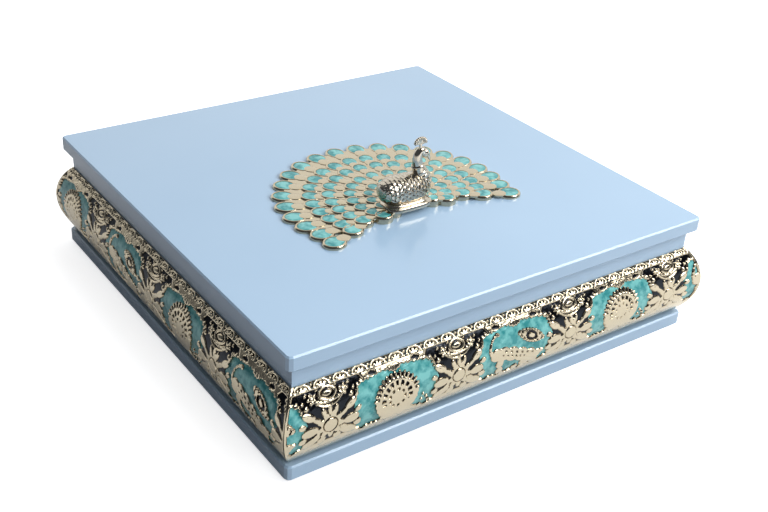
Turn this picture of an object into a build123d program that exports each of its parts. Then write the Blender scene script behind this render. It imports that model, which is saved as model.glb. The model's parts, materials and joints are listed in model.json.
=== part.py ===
from build123d import *
from math import asin, cos, pi, radians, sin, sqrt
import os

# Square wooden dry fruit box with a lift-off lid.
# Millimetres, +Z up, front towards -Y, origin at the centre of the footprint on the table.

# Case
SLAB_SIDE = 300.0
SLAB_T = 9.4
SLAB_CORNER_R = 3.0
SLAB_ARRIS = 0.9
NECK_INSET = 5.2
WALL_T = 9.0
WALL_H = 60.3
PAD_T = 1.5
PAD_R = 8.0
PAD_SIDES = 12
PAD_IN = 18.0

# Ornamental bands
BAND_H = 47.4
BAND_BULGE = 10.2
BAND_T = 2.0
BAND_FLATS = 5
MITRE_GAP = 0.4
RELIEF_T = 0.8
RELIEF_ROOT = 0.3
POCKET_DEPTH = 0.8
ENAMEL_GAP = 0.05
ENAMEL_SINK = 0.15
BORDER_H = 4.0
MOTIF_PITCH = 83.5
FRONT_PHASE = -3.5
SIDE_PHASE = -42.0
FIELD_W = 52.0
FIELD_H = 35.0
FIELD_R = 14.0
FIELD_RISE = 1.5
CORNER_STEPS = 3
MITRE_RIM = 4.0
DISC_R = 13.5
DISC_RISE = 6.0
DISC_TEETH = 6
DISC_DROP = 25.0
TOOTH_T = 1.5
PAISLEY_L = 48.0
PAISLEY_W = 11.0
PAISLEY_DIP = 14.0
PAISLEY_RISE = 12.0
PAISLEY_STEPS = 5
PAISLEY_TIP = 0.08
PAISLEY_FROM = 165.0
PAISLEY_SWEEP = 147.0
LEAF_L = 13.0
LEAF_W = 5.5
LEAF_RISE = 10.5
LEAF_TURN = -20.0
ROSETTE_R = 7.5
ROSETTE_HOLLOW = 4.2
ROSETTE_RISE = 4.5
PETALS = 6
BOSS_R = 4.0
BAND_SCREW_X = 95.0

# Inside of the case
LINER_T = 1.5
LINER_GAP = 0.4
DIVIDER_T = 4.0
DIVIDER_H = 44.0
LAP_GAP = 0.15
CUP_GAP = 1.0
CUP_H = 42.0
CUP_WALL = 1.8
CUP_R = 9.0
CUP_LIP = 0.6
CUP_STEPS = 3

# Lid
RAIL_W = 10.0
RAIL_H = 8.0
RAIL_GAP = 1.0

# Tail plate of the peacock
FOCUS_X = -3.5
FOCUS_Y = -53.5
TAIL_SKIRT = 5.0
ROW_COUNTS = (21, 21, 17, 15, 11)
ROW_STARTS = (-10.7, -7.2, 0.0, -4.0, 5.0)
ROW_SIDE_R = (67.0, 49.5, 37.5, 24.0, 13.0)
ROW_TOP_R = (89.0, 72.0, 59.5, 45.6, 33.0)
CELL_LONG = (12.0, 10.0, 9.4, 8.4, 7.0)
CELL_WIDE = (10.0, 8.6, 8.2, 7.4, 6.4)
CELL_RIM = 1.9
CELL_SIDES = 6
LOBE_SIDES = 6
PLATE_T = 2.2
ROW_STEP = 0.7
CELL_DEPTH = 0.9
CELL_SINK = 0.2
CELL_GAP = 0.05

# Peacock
BIRD_X = -3.0
BIRD_Y = -50.0
BIRD_H = 49.0
BIRD_GAP = 0.1
FOOT_L = 36.0
FOOT_W = 17.0
FOOT_T = 1.5
BODY_L = 37.5
BODY_H = 22.0
BODY_W = 17.0
BODY_BACK = 6.3
BODY_SINK = 1.3
BODY_SIDES = 10
NECK_R = 3.0
NECK_X = 4.3
NECK_SIDES = 6
HEAD_R = 3.4
CREST_W = 9.0
CREST_T = 2.2

# Screws
SCREW_R = 1.6
SCREW_HEAD_R = 3.4
SCREW_HEAD_T = 2.0
SCREW_BITE = 5.0
HOLE_GAP = 0.3
SCREW_SPARE = 0.3
SCREW_SIDES = 6

# Levels, widths and places that follow from the sizes above
PLINTH_Z = PAD_T
FLOOR_Z = PLINTH_Z + SLAB_T
RIM_Z = FLOOR_Z + WALL_H
LID_Z = RIM_Z
TOP_Z = LID_Z + SLAB_T
WALL_OUT = SLAB_SIDE / 2 - NECK_INSET
WALL_IN = WALL_OUT - WALL_T
BAND_MID_Z = FLOOR_Z + BAND_H / 2
BAND_R = (BAND_BULGE**2 + (BAND_H / 2)**2) / (2 * BAND_BULGE)
BAND_AXIS_Y = -(WALL_OUT + BAND_BULGE - BAND_R)
BAND_REACH = WALL_OUT + BAND_BULGE + RELIEF_T
CELL_SIDE = WALL_IN - DIVIDER_T / 2
CUP_MID = DIVIDER_T / 2 + CELL_SIDE / 2
CUP_SIDE = CELL_SIDE - 2 * CUP_GAP
CUP_Z = FLOOR_Z + LINER_T


def save(node, shape):
    """Write one named piece, or a group of like pieces, to its own file."""
    export_step(shape, f"parts/{node}.step")


def block(x0, x1, y0, y1, z0, z1):
    """A plain board between two corners."""
    middle = ((x0 + x1) / 2, (y0 + y1) / 2, (z0 + z1) / 2)
    return Pos(*middle) * Box(x1 - x0, y1 - y0, z1 - z0)


def polygon_face(points):
    """A flat face through the points, in the XY plane."""
    return Face(Wire.make_polygon([Vector(x, y, 0) for x, y in points], close=True))


def oval(x, y, length, width, turn, sides):
    """Points of an oval whose length lies along the direction turn, in degrees."""
    c = cos(radians(turn))
    s = sin(radians(turn))
    points = []
    for i in range(sides):
        a = 2 * pi * (i + 0.5) / sides
        u = length / 2 * cos(a)
        v = width / 2 * sin(a)
        points.append((x + u * c - v * s, y + u * s + v * c))
    return points


def prism(points, z0, z1):
    """An upright prism over an outline."""
    return Pos(0, 0, z0) * extrude(polygon_face(points), amount=z1 - z0, dir=(0, 0, 1))


def fuse_all(shapes):
    """Join a list of overlapping solids into one."""
    return shapes[0].fuse(*shapes[1:])


def rounded_points(x, y, width, height, radius, steps):
    """Points of an upright rectangle with each corner rounded in a few steps."""
    points = []
    for cx, cy, start in ((1, 1, 0), (-1, 1, 90), (-1, -1, 180), (1, -1, 270)):
        for step in range(steps):
            a = radians(start + 90 * step / (steps - 1))
            across = cx * (width / 2 - radius) + radius * cos(a)
            up = cy * (height / 2 - radius) + radius * sin(a)
            points.append((x + across, y + up))
    return points


# Case: pads, plinth, walls

def slab(z0):
    """Square board with round corners and softened arrises, used for the plinth and the lid."""
    outline = rounded_points(0, 0, SLAB_SIDE, SLAB_SIDE, SLAB_CORNER_R, CORNER_STEPS)
    board = prism(outline, z0, z0 + SLAB_T)
    rims = board.edges().group_by(Axis.Z)
    return chamfer(rims[0] + rims[-1], SLAB_ARRIS)


def plinth_screw_places():
    """One screw up into the middle of each wall's thickness."""
    line = WALL_OUT - WALL_T / 2
    return [(0, -line), (line, 0), (0, line), (-line, 0)]


def rod(place, radius, length):
    """A many-sided rod that runs along the place's own Z."""
    return place * extrude(RegularPolygon(radius, SCREW_SIDES), amount=length)


def screw_shape(place, gap, bite):
    """A screw that starts with its head at the place and runs along its Z, or its hole."""
    head = rod(place, SCREW_HEAD_R + gap, SCREW_HEAD_T)
    return head + rod(place, SCREW_R, SCREW_HEAD_T + bite)


PLINTH_BITE = SLAB_T - SCREW_HEAD_T + SCREW_BITE


def foot_pads():
    """Four round pads under the corners of the plinth."""
    reach = SLAB_SIDE / 2 - PAD_IN
    pads = []
    for sx in (-1, 1):
        for sy in (-1, 1):
            pad = extrude(RegularPolygon(PAD_R, PAD_SIDES), amount=PAD_T)
            pads.append(Pos(sx * reach, sy * reach, 0) * pad)
    return Compound(children=pads)


def plinth_screw_shapes(gap):
    """All the screws that come up through the plinth, or their holes."""
    return [screw_shape(Pos(x, y, PLINTH_Z), gap, PLINTH_BITE) for x, y in plinth_screw_places()]


def base_plinth():
    """Bottom board, bored from below for the screws that hold the walls."""
    return slab(PLINTH_Z).cut(*plinth_screw_shapes(HOLE_GAP))


def plinth_screws():
    """The screws that hold the plinth under the walls."""
    return Compound(children=plinth_screw_shapes(0))


BAND_BITE = WALL_T - SCREW_HEAD_T + SCREW_BITE


def band_screw_starts():
    """Where the two screws through the front wall start, pointing outwards."""
    return [Pos(x, -WALL_IN, BAND_MID_Z) * Rot(90, 0, 0) for x in (-BAND_SCREW_X, BAND_SCREW_X)]


def wall(turn, is_long):
    """One wall board, made in front and turned to its side."""
    half = WALL_OUT if is_long else WALL_IN
    board = block(-half, half, -WALL_OUT, -WALL_IN, FLOOR_Z, RIM_Z)
    board = board.cut(*[screw_shape(place, HOLE_GAP, BAND_BITE) for place in band_screw_starts()])
    return (Rot(0, 0, turn) * board).cut(*plinth_screw_shapes(HOLE_GAP))


def band_screws():
    """The screws that pull the four bands against the walls."""
    screws = []
    for turn in (0, 90, 180, 270):
        screws += [Rot(0, 0, turn) * screw_shape(place, 0, BAND_BITE) for place in band_screw_starts()]
    return Compound(children=screws)


# Ornamental bands

def band_sector():
    """The wedge of space that belongs to the front band, between the two mitres."""
    reach = BAND_REACH + 5
    slack = MITRE_GAP / sqrt(2)
    points = [(0, -slack), (reach - slack, -reach), (slack - reach, -reach)]
    return prism(points, FLOOR_Z, FLOOR_Z + BAND_H)


def bow(radius):
    """The band's bowed profile as flats that touch one radius, from below to above, as (y, z) points."""
    step = 2 * asin(BAND_H / 2 / BAND_R) / BAND_FLATS
    corner_r = radius / cos(step / 2)
    points = []
    for i in range(BAND_FLATS + 3):
        a = step * (i - BAND_FLATS / 2 - 1)
        points.append((BAND_AXIS_Y - corner_r * cos(a), BAND_MID_Z + corner_r * sin(a)))
    return points


def skin(r_in, r_out):
    """Bowed layer between two radii about the band's axis, in front of the wall."""
    outline = bow(r_out) + bow(r_in)[::-1]
    profile = Face(Wire.make_polygon([Vector(-BAND_REACH, y, z) for y, z in outline], close=True))
    layer = extrude(profile, amount=2 * BAND_REACH, dir=(1, 0, 0))
    front = block(-BAND_REACH, BAND_REACH, -BAND_REACH - 5, -WALL_OUT, FLOOR_Z, FLOOR_Z + BAND_H)
    return layer & front & band_sector()


def stamp(points):
    """An outline given in x and rise above the band's middle, pushed through the band."""
    face = polygon_face(points)
    depth = BAND_BULGE + RELIEF_T + 4
    return Pos(0, -WALL_OUT, BAND_MID_Z) * Rot(90, 0, 0) * extrude(face, amount=depth, dir=(0, 0, 1))


def field_points(x, margin):
    """Outline of a teal field: a wide panel with well rounded corners."""
    cut_in = 2 * margin
    return rounded_points(x, FIELD_RISE, FIELD_W - cut_in, FIELD_H - cut_in, FIELD_R - margin, CORNER_STEPS)


def disc_points(x, margin):
    """Outline of a fan disc: a toothed round top on a foot that spreads downwards."""
    points = []
    steps = 2 * DISC_TEETH
    for i in range(steps + 1):
        a = radians(-DISC_DROP + (180 + 2 * DISC_DROP) * i / steps)
        r = DISC_R + margin + (0 if i % 2 else TOOTH_T)
        points.append((x + r * cos(a), DISC_RISE + r * sin(a)))
    foot = FIELD_H / 2 - FIELD_RISE + margin
    half = DISC_R * 0.55 + margin
    return points + [(x - half, -foot), (x + half, -foot)]


def paisley_points(x, margin):
    """Outline of the mango leaf: thick and curled up at one end, drawn out to a tip at the other."""
    points = []
    for side in (1, -1):
        for i in range(PAISLEY_STEPS + 1):
            t = i / PAISLEY_STEPS if side > 0 else 1 - i / PAISLEY_STEPS
            a = radians(PAISLEY_FROM + PAISLEY_SWEEP * t)
            half = PAISLEY_W / 2 * (sin(pi * t**0.6) + PAISLEY_TIP) + margin
            across = (PAISLEY_L / 2 + side * half) * cos(a)
            rise = (PAISLEY_DIP + side * half) * sin(a)
            points.append((x + PAISLEY_L * 0.12 + across, PAISLEY_RISE + rise))
    return points


def motif_places(phase):
    """Centres of the fan discs, leaves and flower panels that reach this band."""
    reach = BAND_REACH + FIELD_W / 2 - MITRE_RIM
    discs = []
    leaves = []
    panels = []
    count = int(reach / MOTIF_PITCH) + 2
    for k in range(-count, count + 1):
        x = phase + k * MOTIF_PITCH
        if abs(x) < reach:
            (discs if k % 2 else leaves).append(x)
        if abs(x + MOTIF_PITCH / 2) < BAND_REACH:
            panels.append(x + MOTIF_PITCH / 2)
    return discs, leaves, panels


def leaf_points(x, margin):
    """The small eye-shaped leaf above the mango leaf."""
    length = LEAF_L + 2 * margin
    width = LEAF_W + 2 * margin
    return oval(x + PAISLEY_L * 0.17, LEAF_RISE, length, width, LEAF_TURN, 6)


def rosette_points(x):
    """Outline of the flower in the middle of a panel."""
    points = []
    for i in range(2 * PETALS):
        a = pi * (i + 0.5) / PETALS
        r = ROSETTE_HOLLOW if i % 2 else ROSETTE_R
        points.append((x + r * cos(a), ROSETTE_RISE + r * sin(a)))
    return points


def strip_points(side):
    """A plain strip along the upper or the lower edge."""
    edge = side * BAND_H / 2
    inner = edge - side * BORDER_H
    return [(-BAND_REACH, edge), (BAND_REACH, edge), (BAND_REACH, inner), (-BAND_REACH, inner)]


def raised_outlines(phase):
    """Everything that stands proud of the band's curve."""
    discs, leaves, panels = motif_places(phase)
    outlines = [disc_points(x, 0) for x in discs]
    outlines += [paisley_points(x, 0) for x in leaves]
    outlines += [leaf_points(x, 0) for x in leaves]
    outlines += [rosette_points(x) for x in panels]
    return outlines + [strip_points(1), strip_points(-1)]


def pieces_of(layer, outlines):
    """The parts of a curved layer that lie inside each outline."""
    pieces = []
    for points in outlines:
        common = layer & stamp(points)
        if common:
            pieces += common.solids()
    return pieces


def band_front(phase):
    """Cast band in front: a bowed shell with relief, enamel pockets and screw bosses."""
    discs, leaves, panels = motif_places(phase)
    shell = skin(BAND_R - BAND_T, BAND_R)
    pocket_layer = skin(BAND_R - POCKET_DEPTH, BAND_R + RELIEF_T)
    shell = shell.cut(*pieces_of(pocket_layer, [field_points(x, 0) for x in discs + leaves]))
    relief_layer = skin(BAND_R - POCKET_DEPTH - RELIEF_ROOT, BAND_R + RELIEF_T)
    shell = shell.fuse(*pieces_of(relief_layer, raised_outlines(phase)))
    depth = WALL_T + BAND_BULGE - BAND_T + RELIEF_ROOT
    inside = block(-BAND_REACH, BAND_REACH, -BAND_REACH, -WALL_OUT, FLOOR_Z, RIM_Z)
    shell = shell.fuse(*[rod(place, BOSS_R, depth) & inside for place in band_screw_starts()])
    return shell.cut(*[screw_shape(place, HOLE_GAP, BAND_BITE) for place in band_screw_starts()])


def enamel_front(phase):
    """Enamel poured into the fields of the front band, around the raised motifs."""
    discs, leaves, panels = motif_places(phase)
    layer = skin(BAND_R - POCKET_DEPTH, BAND_R - ENAMEL_SINK)
    around = [stamp(disc_points(x, ENAMEL_GAP)) for x in discs]
    around += [stamp(paisley_points(x, ENAMEL_GAP)) for x in leaves]
    around += [stamp(leaf_points(x, ENAMEL_GAP)) for x in leaves]
    fields = []
    for piece in pieces_of(layer, [field_points(x, ENAMEL_GAP) for x in discs + leaves]):
        fields += piece.cut(*around).solids()
    return Compound(children=fields)


# Inside of the case

def floor_liner():
    """Felt sheet on the floor between the walls."""
    half = WALL_IN - LINER_GAP
    return block(-half, half, -half, half, FLOOR_Z, FLOOR_Z + LINER_T)


def divider(turn, slot_up):
    """Partition board with a half-lap slot at its middle."""
    half = WALL_IN - LINER_GAP
    z0 = FLOOR_Z + LINER_T
    z1 = z0 + DIVIDER_H
    middle = (z0 + z1) / 2
    board = block(-half, half, -DIVIDER_T / 2, DIVIDER_T / 2, z0, z1)
    slot_w = DIVIDER_T / 2 + LAP_GAP
    lap = LAP_GAP / 2
    if slot_up:
        slot = block(-slot_w, slot_w, -DIVIDER_T, DIVIDER_T, middle - lap, z1)
    else:
        slot = block(-slot_w, slot_w, -DIVIDER_T, DIVIDER_T, z0, middle + lap)
    return Rot(0, 0, turn) * (board - slot)


def cup(sx, sy):
    """Square cup that stands in one quarter of the case."""
    def layer(side, radius, z0, z1):
        return prism(rounded_points(0, 0, side, side, radius, CUP_STEPS), z0, z1)

    inner = CUP_SIDE - 2 * CUP_WALL
    body = layer(CUP_SIDE, CUP_R, 0, CUP_H)
    body += layer(CUP_SIDE + 2 * CUP_LIP, CUP_R + CUP_LIP, CUP_H - CUP_WALL, CUP_H)
    body -= layer(inner, CUP_R - CUP_WALL, CUP_WALL, CUP_H + 1)
    return Pos(sx * CUP_MID, sy * CUP_MID, CUP_Z) * body


# Lid

def tail_screw_places():
    """Screws through the lid into the thick inner rows of the tail plate."""
    r = ROW_SIDE_R[3]
    return [(FOCUS_X + r * cos(radians(a)), FOCUS_Y + r * sin(radians(a))) for a in (20, 90, 160)]


def bird_screw_places():
    """Two screws through the lid and tail plate into the foot of the bird."""
    return [(BIRD_X + side * FOOT_L * 0.3, BIRD_Y) for side in (-1, 1)]


TAIL_BITE = SLAB_T - SCREW_HEAD_T + PLATE_T
FOOT_Z = PLATE_T + ROW_STEP * (len(ROW_COUNTS) - 1) + BIRD_GAP
BIRD_BITE = SLAB_T - SCREW_HEAD_T + FOOT_Z + FOOT_T


def ornament_screw_shapes(gap, spare):
    """All the screws that come up through the lid, or their holes."""
    shapes = [screw_shape(Pos(x, y, LID_Z), gap, TAIL_BITE - spare) for x, y in tail_screw_places()]
    shapes += [screw_shape(Pos(x, y, LID_Z), gap, BIRD_BITE - spare) for x, y in bird_screw_places()]
    return shapes


def lid_panel():
    """Top board, bored from below for the ornament's screws."""
    return slab(LID_Z).cut(*ornament_screw_shapes(HOLE_GAP, 0))


def lid_rail(turn, is_long):
    """One rail of the frame under the lid that keeps it centred in the case."""
    out = WALL_IN - RAIL_GAP
    half = out if is_long else out - RAIL_W
    return Rot(0, 0, turn) * block(-half, half, -out, RAIL_W - out, LID_Z - RAIL_H, LID_Z)


def feather_tips(row):
    """Middle and direction of each feather tip in one row, right to left."""
    count = ROW_COUNTS[row]
    tips = []
    for i in range(count):
        a = ROW_STARTS[row] + (180 - 2 * ROW_STARTS[row]) * i / (count - 1)
        s = sin(radians(a))
        r = ROW_SIDE_R[row] + (ROW_TOP_R[row] - ROW_SIDE_R[row]) * max(s, 0)
        tips.append((FOCUS_X + r * cos(radians(a)), FOCUS_Y + r * s, a))
    return tips


def row_layer(row):
    """One row of feathers with scalloped tips, as a plate that rises a step per row."""
    top = TOP_Z + PLATE_T + ROW_STEP * row
    tips = feather_tips(row)
    length = CELL_LONG[row] + 2 * CELL_RIM
    width = CELL_WIDE[row] + 2 * CELL_RIM
    lobes = [prism(oval(x, y, length, width, a, LOBE_SIDES), TOP_Z, top) for x, y, a in tips]
    web = prism([(FOCUS_X, FOCUS_Y - TAIL_SKIRT)] + [(x, y) for x, y, a in tips], TOP_Z, top)
    return fuse_all([web] + lobes)


def cell_solids(margin, z_low, z_high):
    """The enamel cells of all rows, between two depths under each row's top."""
    cells = []
    for row in range(len(ROW_COUNTS)):
        top = TOP_Z + PLATE_T + ROW_STEP * row
        for x, y, a in feather_tips(row):
            if row > 2 and hidden_by_bird(x, y):
                continue
            outline = oval(x, y, CELL_LONG[row] - 2 * margin, CELL_WIDE[row] - 2 * margin, a, CELL_SIDES)
            cells.append(prism(outline, top - z_low, top - z_high))
    return cells


def hidden_by_bird(x, y):
    """True where the bird's foot stands over a feather tip."""
    reach = CELL_LONG[-1] / 2 + CELL_RIM
    return abs(x - BIRD_X) < FOOT_L / 2 + reach and abs(y - BIRD_Y) < FOOT_W / 2 + reach


def peacock_tail():
    """Cast tail plate: five stepped rows of feathers with a pocket in each tip."""
    plate = fuse_all([row_layer(row) for row in range(len(ROW_COUNTS))])
    return plate.cut(*cell_solids(0, CELL_DEPTH, -1), *ornament_screw_shapes(HOLE_GAP, 0))


def tail_enamel():
    """One drop of enamel in every feather tip."""
    return Compound(children=cell_solids(CELL_GAP, CELL_DEPTH, CELL_SINK))


def bird_section(x, z, along, wide, tilt, sides):
    """Points of an oval section of the bird, square to a direction tilt degrees above +X."""
    points = []
    for i in range(sides):
        a = 2 * pi * (i + 0.5) / sides
        up = along * cos(a)
        px = BIRD_X + x - up * sin(radians(tilt))
        pz = TOP_Z + z + up * cos(radians(tilt))
        points.append(Vector(px, BIRD_Y + wide * sin(a), pz))
    return points


def bird_run(sections, sides):
    """A solid with flat triangular facets, run through a row of sections."""
    rings = [bird_section(*section, sides) for section in sections]
    faces = [Face(Wire.make_polygon(rings[0], close=True)), Face(Wire.make_polygon(rings[-1], close=True))]
    for low, high in zip(rings, rings[1:]):
        for i in range(sides):
            j = (i + 1) % sides
            faces.append(Face(Wire.make_polygon([low[i], low[j], high[i]], close=True)))
            faces.append(Face(Wire.make_polygon([low[j], high[j], high[i]], close=True)))
    return Solid(Shell(faces))


def bird_body():
    """Stout egg-shaped body, blunt behind and drawn in to the breast."""
    middle = FOOT_Z + FOOT_T + BODY_H / 2 - BODY_SINK
    shape = ((-0.49, 0.08, 0.30, 0.24), (-0.42, 0.04, 0.62, 0.50), (-0.27, 0.01, 0.92, 0.82),
             (0, 0, 1.0, 1.0), (0.22, -0.02, 0.92, 0.90), (0.40, -0.12, 0.60, 0.56),
             (0.49, -0.17, 0.22, 0.22))
    sections = [(x * BODY_L - BODY_BACK, middle + z * BODY_H, h * BODY_H / 2, w * BODY_W / 2, 0)
                for x, z, h, w in shape]
    return bird_run(sections, BODY_SIDES)


HEAD_Z = BIRD_H - 3 * HEAD_R


def bird_neck():
    """Neck that rises from the breast and narrows to the head."""
    root = FOOT_Z + BODY_H * 0.75
    shape = ((0.3, 0, 1.8, 1.7, 75), (0.1, 0.2, 1.4, 1.3, 85),
             (0, 0.45, 1.0, 0.95, 90), (0, 1, 0.85, 0.8, 90))
    sections = [(NECK_X + x * NECK_R, root + t * (HEAD_Z - root), u * NECK_R, w * NECK_R, a)
                for x, t, u, w, a in shape]
    return bird_run(sections, NECK_SIDES)


def bird_head():
    """Head, and the beak that points down in front of it."""
    shape = ((-0.6, 0, 0.35, 0.30, 0), (0, 0, 0.95, 0.85, -5), (0.8, -0.05, 0.95, 0.85, -15),
             (1.5, -0.35, 0.50, 0.42, -35), (1.9, -1.1, 0.28, 0.24, -60), (2.3, -2.1, 0.08, 0.08, -65))
    sections = [(NECK_X + x * HEAD_R, HEAD_Z + z * HEAD_R, u * HEAD_R, w * HEAD_R, a)
                for x, z, u, w, a in shape]
    return bird_run(sections, NECK_SIDES)


def bird_crest():
    """Small fan of crest feathers on the crown."""
    root = HEAD_Z + HEAD_R / 2
    shape = ((0, 0.1, 0.45, 90), (0.35, 0.14, 0.5, 90), (0.7, 0.5, 0.5, 90),
             (0.9, 0.4, 0.5, 90), (1.0, 0.2, 0.3, 90))
    sections = [(NECK_X, root + t * (BIRD_H - root), u * CREST_W, w * CREST_T, a) for t, u, w, a in shape]
    return bird_run(sections, NECK_SIDES)


def peacock_bird():
    """Cast bird: foot, body, neck, head with beak and crest in one piece."""
    outline = rounded_points(BIRD_X, BIRD_Y, FOOT_L, FOOT_W, FOOT_W * 0.45, CORNER_STEPS)
    foot = prism(outline, TOP_Z + FOOT_Z, TOP_Z + FOOT_Z + FOOT_T)
    bird = fuse_all([foot, bird_body(), bird_neck(), bird_head(), bird_crest()])
    return bird.cut(*ornament_screw_shapes(HOLE_GAP, 0))


def ornament_screws():
    """The screws that hold the tail plate and the bird on the lid."""
    return Compound(children=ornament_screw_shapes(0, SCREW_SPARE))


SIDES = {"front": (0, FRONT_PHASE), "right": (90, SIDE_PHASE),
         "back": (180, FRONT_PHASE), "left": (270, SIDE_PHASE)}
QUARTERS = {"front_left": (-1, -1), "front_right": (1, -1), "back_left": (-1, 1), "back_right": (1, 1)}

if __name__ == "__main__":
    os.makedirs("parts", exist_ok=True)
    save("foot_pads", foot_pads())
    save("base_plinth", base_plinth())
    save("plinth_screws", plinth_screws())
    save("band_screws", band_screws())
    bands = {phase: band_front(phase) for phase in (FRONT_PHASE, SIDE_PHASE)}
    enamels = {phase: enamel_front(phase) for phase in (FRONT_PHASE, SIDE_PHASE)}
    for side, (turn, phase) in SIDES.items():
        is_long = side in ("front", "back")
        save(f"wall_{side}", wall(turn, is_long))
        save(f"band_{side}", Rot(0, 0, turn) * bands[phase])
        save(f"enamel_{side}", Rot(0, 0, turn) * enamels[phase])
        save(f"lid_rail_{side}", lid_rail(turn, is_long))
    save("floor_liner", floor_liner())
    save("divider_long", divider(0, True))
    save("divider_cross", divider(90, False))
    for name, (sx, sy) in QUARTERS.items():
        save(f"cup_{name}", cup(sx, sy))
    save("lid_panel", lid_panel())
    save("peacock_tail", peacock_tail())
    save("tail_enamel", tail_enamel())
    save("peacock_bird", peacock_bird())
    save("ornament_screws", ornament_screws())
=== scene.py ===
import json
import math
import bpy
import numpy as np
from mathutils import Matrix, Vector


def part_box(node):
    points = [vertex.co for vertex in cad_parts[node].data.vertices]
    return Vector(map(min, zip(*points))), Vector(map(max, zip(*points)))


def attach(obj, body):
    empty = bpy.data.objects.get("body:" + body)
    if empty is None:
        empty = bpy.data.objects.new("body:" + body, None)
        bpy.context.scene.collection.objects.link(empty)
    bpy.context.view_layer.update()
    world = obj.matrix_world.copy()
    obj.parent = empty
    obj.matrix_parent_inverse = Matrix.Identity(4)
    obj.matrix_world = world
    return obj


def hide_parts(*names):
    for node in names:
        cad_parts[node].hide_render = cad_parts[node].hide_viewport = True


# Square dry fruit box with enamelled bands and a peacock on its lift-off lid.
# Forms are worked out in millimetres in the frame of the solids and turned into metres once.

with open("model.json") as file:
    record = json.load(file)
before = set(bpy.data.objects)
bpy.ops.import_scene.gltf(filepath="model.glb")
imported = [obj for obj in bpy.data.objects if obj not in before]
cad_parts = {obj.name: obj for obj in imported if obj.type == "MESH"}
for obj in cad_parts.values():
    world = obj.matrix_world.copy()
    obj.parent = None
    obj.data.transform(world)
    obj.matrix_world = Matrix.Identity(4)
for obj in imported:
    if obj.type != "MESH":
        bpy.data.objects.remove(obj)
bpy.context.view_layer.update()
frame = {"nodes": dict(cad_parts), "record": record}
MM = 0.001


def box_mm(node):
    """The lowest and highest corner of a solid node, in millimetres."""
    low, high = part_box(node)
    return np.array(low) / MM, np.array(high) / MM


# Sizes that the solids give
BAND_LOW, BAND_HIGH = box_mm("band_front")
TOP_Z = box_mm("lid_panel")[1][2]
WALL_OUT = -box_mm("wall_front")[0][1]
BIRD_LOW_Z = box_mm("peacock_bird")[0][2]
BAND_H = BAND_HIGH[2] - BAND_LOW[2]
MID_Z = (BAND_HIGH[2] + BAND_LOW[2]) / 2
RELIEF = 0.8
BULGE = -BAND_LOW[1] - WALL_OUT - RELIEF
BAND_R = (BULGE**2 + (BAND_H / 2)**2) / (2 * BULGE)
AXIS_Y = -(WALL_OUT + BULGE - BAND_R)

# Bands: x runs along a band, and s along its bow from the middle upwards
GRID = 0.42
BAND_T = 2.0
BACK_STEP = 8
FRONT_PITCH = 84.0
SIDE_PITCH = 81.4
FRONT_PHASE = -1.0
SIDE_PHASE = -43.5
POCKET = 0.8
ENAMEL_SINK = 0.15
ENAMEL_DISH = 0.25
MITRE_SLACK = 0.28
MITRE_RIM = 1.6
MITRE_RISE = 0.5
FOOT_LINE = -16.0
KNOT_BLEND = 0.6

# Arched teal fields
FIELD_HALF = 26.0
FIELD_TOP = 18.6
FIELD_LOW = -12.0
FIELD_SWING = 1.6
FIELD_SAG = 3.4
FIELD_CORNER = 4.0

# Fan disc of every second field; its foot is round knots, each a place, a place and a radius
DISC_R = 14.7
DISC_UP = 1.2
DISC_TEETH = 15
DISC_DASHES = 16
DISC_DASH_R = 8.6
DISC_DOTS = 9
DISC_DOT_R = 5.0
DISC_FOOT = ((-6, -12, 4.5), (0, -11, 5.5), (7, -12, 5.0), (12, -14, 4.0), (-12, -15, 4.0),
             (17.5, -3.5, 0.9), (20.0, -6.0, 1.0), (16.8, -7.0, 0.9), (21.5, -9.0, 1.0))

# Mango leaf of the other fields, also made of round knots, and the eye-shaped leaf above it
MANGO_LEAF = ((-15.2, 3, 4.2), (-9.5, 2.2, 4.4), (-3, 0, 4.8), (4, -2.5, 4.7), (11, -4.8, 4.2),
              (17, -6.2, 2.8), (20.3, -5.2, 1.2), (-12, -4, 2.8), (-11, -9.5, 2.8),
              (1, -11.5, 2.4), (8, -9.5, 3.6), (15, -10.5, 3.2))
MANGO_STEM = ((-19.0, 4.5, 1.1), (-19.6, 6.5, 1.0), (-19.4, 8.5, 0.9), (-18.8, 10.5, 0.9),
              (-17.6, 12.6, 0.9), (-16, 14.2, 0.9), (-14, 15.2, 1.0), (-12.8, 14.8, 1.0))
MANGO_SLOPE = 0.34
EYE_X = 11
EYE_UP = 8
EYE_TURN = -24
EYE_ARC_R = 17.2
EYE_ARC_DOWN = 13.0

# Panels between the fields; leaves are ovals, each two places, two half-sizes and a turn
FLOWER_HEART_R = 4.0
PANEL_LEAVES = ((12.6, -0.6, 5.0, 2.9, 0), (12.8, 8.2, 4.0, 2.1, 30), (8.2, 5.0, 3.0, 1.3, 35),
                (11.4, -7.8, 5.8, 2.7, -25), (4.8, -9.4, 2.8, 2.3, -60), (8.4, -4.8, 2.8, 1.5, -40),
                (3.6, 8.0, 1.2, 2.6, -15), (17.0, 3.8, 2.2, 1.6, 20), (16.8, -5.0, 2.4, 2.0, 0))
PANEL_PEARLS = ((13.6, 13.2, 1.3), (6.2, 14.8, 1.1), (12.8, 19.8, 0.9), (5.6, 21.0, 0.8),
                (15.4, 16.2, 0.8))
BOSS_UP = 18.0
SCROLL_X = 9.4
SCROLL_UP = 17.2
PANEL_REACH = 19
PANEL_TOP = 12

# Lace along the top, and the frame between it and a field
LACE_PITCH = 11.6
LACE_LINE = 22.2
LACE_FOOT = LACE_LINE + 0.3
LACE_SQUEEZE = 0.74
HOLE_X = 14.0
HOLE_UP = 19.8
SHELL_UP = 19.4

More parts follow.
